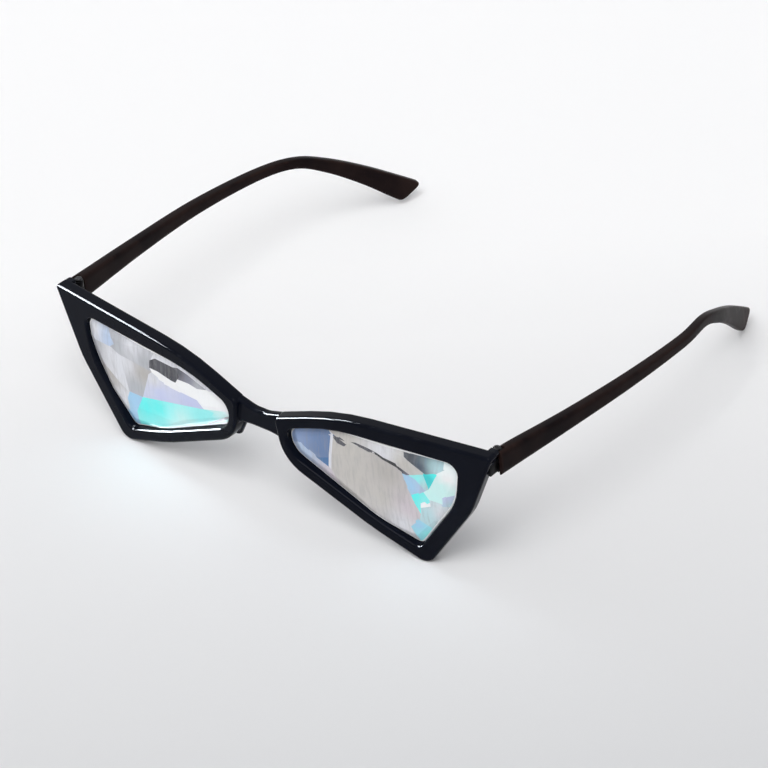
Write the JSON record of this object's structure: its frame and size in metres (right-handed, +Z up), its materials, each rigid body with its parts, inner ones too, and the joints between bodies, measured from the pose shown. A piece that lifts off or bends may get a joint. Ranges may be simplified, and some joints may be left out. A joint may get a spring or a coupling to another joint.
{
  "type": "cat eye eyeglasses",
  "caption": "Cat eye eyeglasses with upswept pointed rims, faceted crystal lenses and hinged temples that fold inward.",
  "frame": {"origin": "centre of the bounding box at its bottom, on the table that the rims and ear tips stand on", "axes": "+X from the left hinge to the right hinge as seen from the front, +Y from the front to the ear tips, +Z up; the rim faces look along -Y"},
  "size_m": [0.1494, 0.1366, 0.0399],
  "materials": {
    "front": "polished black with a faint blue cast",
    "lens": "cut facets with a cyan and lavender coating",
    "temple": "satin warm black",
    "hinge": "blackened metal",
    "screw": "bright steel"
  },
  "bodies": {
    "front": {"front_frame": "front", "lens_left": "lens", "lens_right": "lens", "hinge_front_left": "hinge", "hinge_front_right": "hinge", "hinge_screw_left": "screw", "hinge_screw_right": "screw"},
    "temple_left": {"temple_left": "temple", "hinge_temple_left": "hinge"},
    "temple_right": {"temple_right": "temple", "hinge_temple_right": "hinge"}
  },
  "joints": [
    {"name": "temple_left_fold", "type": "hinge", "parent": "front", "child": "temple_left", "pos_m": [-0.06985, -0.05527, 0.03552], "axis": [0, 0, -1], "range_deg": [0, 84]},
    {"name": "temple_right_fold", "type": "hinge", "parent": "front", "child": "temple_right", "pos_m": [0.06985, -0.05527, 0.03552], "axis": [0, 0, 1], "range_deg": [0, 79]}
  ]
}
